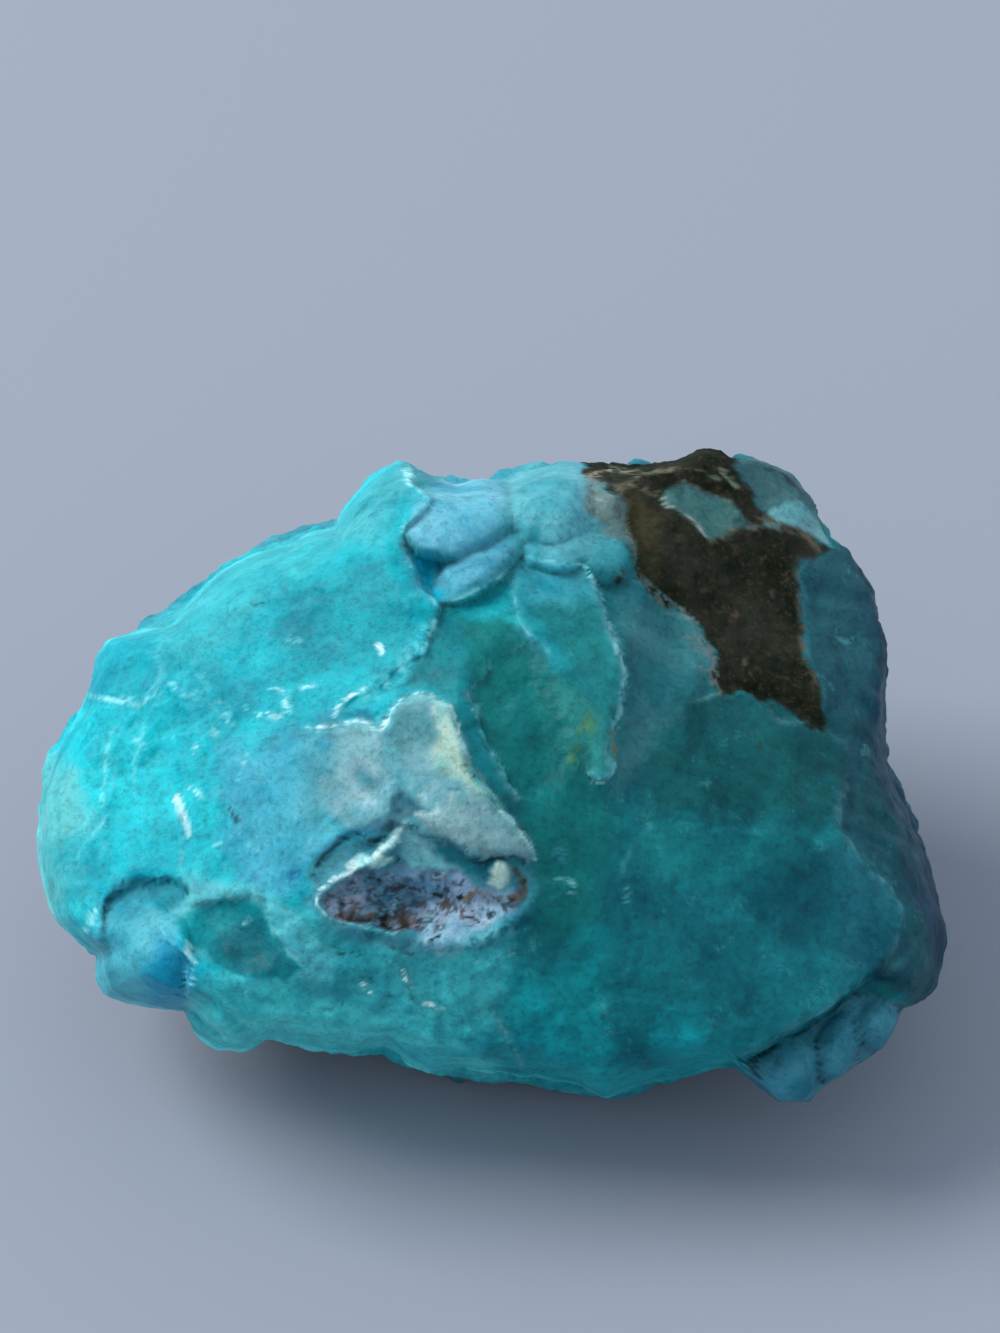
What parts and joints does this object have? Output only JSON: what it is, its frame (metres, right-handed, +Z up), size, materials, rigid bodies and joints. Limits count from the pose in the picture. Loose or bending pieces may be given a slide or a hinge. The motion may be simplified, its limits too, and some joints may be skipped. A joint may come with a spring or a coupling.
{
  "type": "hemimorphite specimen",
  "caption": "Hand specimen of aqua-blue botryoidal hemimorphite with broken sheets, a pitted pale hollow and a patch of brown matrix.",
  "frame": {"origin": "centre of the stone's footprint box, at the level of the ground flat it rests on", "axes": "+X along the stone's length, to the right as the broken face is seen; +Y away from the broken face; +Z up"},
  "size_m": [0.09, 0.07, 0.0537],
  "materials": {
    "hemimorphite": "waxy, translucent aqua to teal stone with pale broken rims and a patch of dull brown matrix"
  },
  "bodies": {
    "root": {"hemimorphite_specimen": "hemimorphite"}
  },
  "joints": []
}
